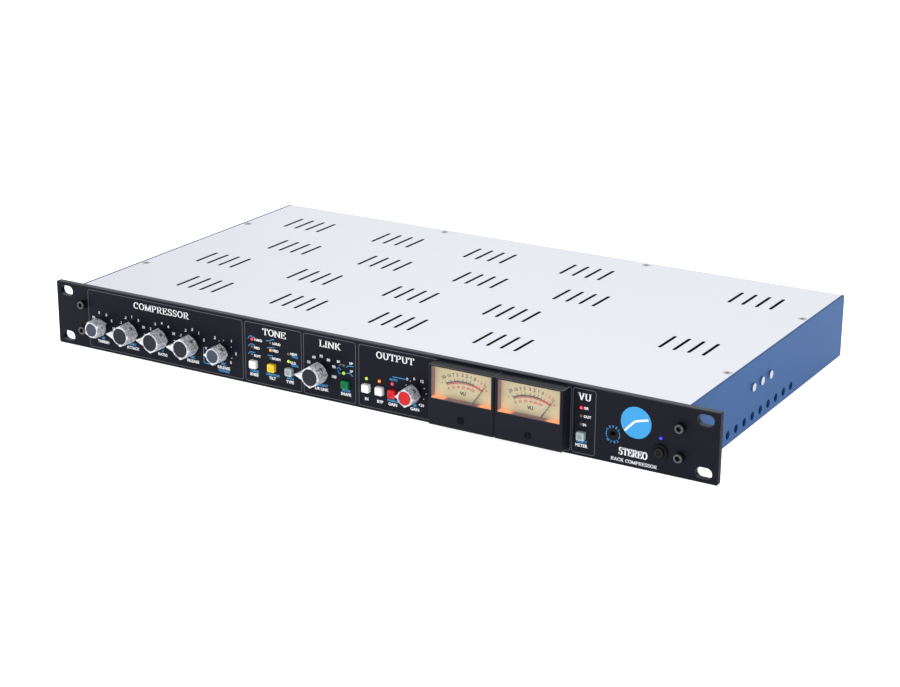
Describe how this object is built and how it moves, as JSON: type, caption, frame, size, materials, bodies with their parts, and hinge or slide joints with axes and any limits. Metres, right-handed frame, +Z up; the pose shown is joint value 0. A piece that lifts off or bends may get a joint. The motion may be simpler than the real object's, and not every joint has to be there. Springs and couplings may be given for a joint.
{
  "type": "rack compressor",
  "caption": "One-unit rack-mounted stereo compressor: flat vented case, black control panel with pointer knobs, square keys and two lit needle meters.",
  "frame": {"origin": "centre of the rack-ear slot pattern on the rear face of the front panel", "axes": "+X to the right as seen from the front, +Y from the panel towards the rear, +Z up"},
  "size_m": [0.4826, 0.264, 0.0436],
  "materials": {
    "panel_black": "fine satin black anodised",
    "side_blue": "satin blue",
    "cover_silver": "fine brushed, clear",
    "rear_silver": "fine brushed",
    "screw_black": "black oxide",
    "screw_bright": "zinc plated",
    "knob_grey": "speckled moulded grey",
    "cap_dark": "fine matte",
    "cap_slate": "fine matte",
    "cap_red": "fine matte",
    "shaft_steel": "turned",
    "control_metal": "pressed can",
    "brass": "turned",
    "button_white": "moulded",
    "button_yellow": "moulded",
    "button_grey": "moulded",
    "button_green": "moulded",
    "button_red": "moulded",
    "switch_black": "moulded",
    "led_resin": "clear tinted resin",
    "meter_black": "satin moulded",
    "window_clear": "clear acrylic",
    "dial_cream": "printed card",
    "needle_black": "matte",
    "movement_steel": "plain",
    "board_green": "glass epoxy, solder mask",
    "standoff_brass": "hex bar",
    "transformer_yellow": "wound polyester tape",
    "can_steel": "pressed",
    "component_black": "potted",
    "regulator_black": "moulded",
    "connector_black": "moulded"
  },
  "bodies": {
    "chassis": {"front_panel": "panel_black", "side_plate_left": "side_blue", "side_plate_right": "side_blue", "top_cover": "cover_silver", "bottom_cover": "rear_silver", "rear_panel": "rear_silver", "panel_screws": "screw_black", "chassis_screws": "screw_bright", "rotary_controls": "control_metal", "switch_bodies": "switch_black", "leds": "led_resin", "control_boards": "board_green", "main_board": "board_green", "board_standoffs": "standoff_brass", "power_transformer": "transformer_yellow", "audio_transformers": "can_steel", "board_components": "component_black", "regulators": "regulator_black", "xlr_sockets": "connector_black", "mains_inlet": "connector_black", "meter_windows": "window_clear", "meter_dials": "dial_cream", "meter_movements": "movement_steel", "meter_case_left": "meter_black", "meter_case_right": "meter_black"},
    "trimmer": {"trimmer_rotor": "brass"},
    "power_key": {"power_button": "switch_black"},
    "threshold_control": {"knob_threshold": "knob_grey", "knob_cap_threshold": "cap_slate", "shaft_threshold": "shaft_steel"},
    "attack_control": {"knob_attack": "knob_grey", "knob_cap_attack": "cap_dark", "shaft_attack": "shaft_steel"},
    "ratio_control": {"knob_ratio": "knob_grey", "knob_cap_ratio": "cap_dark", "shaft_ratio": "shaft_steel"},
    "release_control": {"knob_release": "knob_grey", "knob_cap_release": "cap_dark", "shaft_release": "shaft_steel"},
    "release_variable_control": {"knob_release_variable": "knob_grey", "knob_cap_release_variable": "cap_slate", "shaft_release_variable": "shaft_steel"},
    "link_control": {"knob_link": "knob_grey", "knob_cap_link": "cap_dark", "shaft_link": "shaft_steel"},
    "gain_control": {"knob_gain": "knob_grey", "knob_cap_gain": "cap_red", "shaft_gain": "shaft_steel"},
    "knee_key": {"button_knee": "button_white"},
    "tilt_key": {"button_tilt": "button_yellow"},
    "type_key": {"button_type": "button_grey"},
    "shape_key": {"button_shape": "button_green"},
    "in_key": {"button_in": "button_white"},
    "bypass_key": {"button_bypass": "button_white"},
    "auto_gain_key": {"button_auto_gain": "button_red"},
    "meter_key": {"button_meter": "button_grey"},
    "needle_left": {"meter_needle_left": "needle_black"},
    "zero_adjust_left": {"meter_zero_screw_left": "meter_black"},
    "needle_right": {"meter_needle_right": "needle_black"},
    "zero_adjust_right": {"meter_zero_screw_right": "meter_black"}
  },
  "joints": [
    {"name": "threshold_turn", "type": "hinge", "parent": "chassis", "child": "threshold_control", "pos_m": [-0.2023, -0.012, -0.0035], "axis": [0, 1, 0], "range_deg": [-210, 90]},
    {"name": "attack_turn", "type": "hinge", "parent": "chassis", "child": "attack_control", "pos_m": [-0.1771, -0.012, -0.0032], "axis": [0, 1, 0], "range_deg": [0, 180]},
    {"name": "ratio_turn", "type": "hinge", "parent": "chassis", "child": "ratio_control", "pos_m": [-0.1521, -0.012, -0.0032], "axis": [0, 1, 0], "range_deg": [0, 180]},
    {"name": "release_turn", "type": "hinge", "parent": "chassis", "child": "release_control", "pos_m": [-0.1272, -0.012, -0.0032], "axis": [0, 1, 0], "range_deg": [0, 180]},
    {"name": "release_variable_turn", "type": "hinge", "parent": "chassis", "child": "release_variable_control", "pos_m": [-0.1023, -0.012, -0.0038], "axis": [0, 1, 0], "range_deg": [-60, 240]},
    {"name": "link_turn", "type": "hinge", "parent": "chassis", "child": "link_control", "pos_m": [-0.0263, -0.012, -0.0034], "axis": [0, 1, 0], "range_deg": [0, 180]},
    {"name": "gain_turn", "type": "hinge", "parent": "chassis", "child": "gain_control", "pos_m": [0.0422, -0.012, -0.0042], "axis": [0, 1, 0], "range_deg": [-60, 240]},
    {"name": "knee_press", "type": "slide", "parent": "chassis", "child": "knee_key", "axis": [0, 1, 0], "range_m": [0, 0.0022], "stiffness_N_per_m": 250, "springref_m": -0.002},
    {"name": "tilt_press", "type": "slide", "parent": "chassis", "child": "tilt_key", "axis": [0, 1, 0], "range_m": [0, 0.0022], "stiffness_N_per_m": 250, "springref_m": -0.002},
    {"name": "type_press", "type": "slide", "parent": "chassis", "child": "type_key", "axis": [0, 1, 0], "range_m": [0, 0.0022], "stiffness_N_per_m": 250, "springref_m": -0.002},
    {"name": "shape_press", "type": "slide", "parent": "chassis", "child": "shape_key", "axis": [0, 1, 0], "range_m": [0, 0.0022], "stiffness_N_per_m": 250, "springref_m": -0.002},
    {"name": "in_press", "type": "slide", "parent": "chassis", "child": "in_key", "axis": [0, 1, 0], "range_m": [0, 0.0022], "stiffness_N_per_m": 250, "springref_m": -0.002},
    {"name": "bypass_press", "type": "slide", "parent": "chassis", "child": "bypass_key", "axis": [0, 1, 0], "range_m": [0, 0.0022], "stiffness_N_per_m": 250, "springref_m": -0.002},
    {"name": "auto_gain_press", "type": "slide", "parent": "chassis", "child": "auto_gain_key", "axis": [0, 1, 0], "range_m": [0, 0.0022], "stiffness_N_per_m": 250, "springref_m": -0.002},
    {"name": "meter_press", "type": "slide", "parent": "chassis", "child": "meter_key", "axis": [0, 1, 0], "range_m": [0, 0.0022], "stiffness_N_per_m": 250, "springref_m": -0.002},
    {"name": "power_press", "type": "slide", "parent": "chassis", "child": "power_key", "axis": [0, 1, 0], "range_m": [0, 0.002], "stiffness_N_per_m": 250, "springref_m": -0.002},
    {"name": "trimmer_turn", "type": "hinge", "parent": "chassis", "child": "trimmer", "pos_m": [0.1757, 0, -0.0039], "axis": [0, 1, 0], "range_deg": [-135, 135]},
    {"name": "needle_left_swing", "type": "hinge", "parent": "chassis", "child": "needle_left", "pos_m": [0.07955, -0.01, -0.01], "axis": [0, 1, 0], "range_deg": [-73, 1], "stiffness_Nm_per_rad": 0.00002},
    {"name": "zero_adjust_left_turn", "type": "hinge", "parent": "chassis", "child": "zero_adjust_left", "pos_m": [0.07955, -0.012, -0.0121], "axis": [0, 1, 0], "range_deg": [-30, 30]},
    {"name": "needle_right_swing", "type": "hinge", "parent": "chassis", "child": "needle_right", "pos_m": [0.125, -0.01, -0.01], "axis": [0, 1, 0], "range_deg": [-73, 1], "stiffness_Nm_per_rad": 0.00002},
    {"name": "zero_adjust_right_turn", "type": "hinge", "parent": "chassis", "child": "zero_adjust_right", "pos_m": [0.125, -0.012, -0.0121], "axis": [0, 1, 0], "range_deg": [-30, 30]}
  ]
}
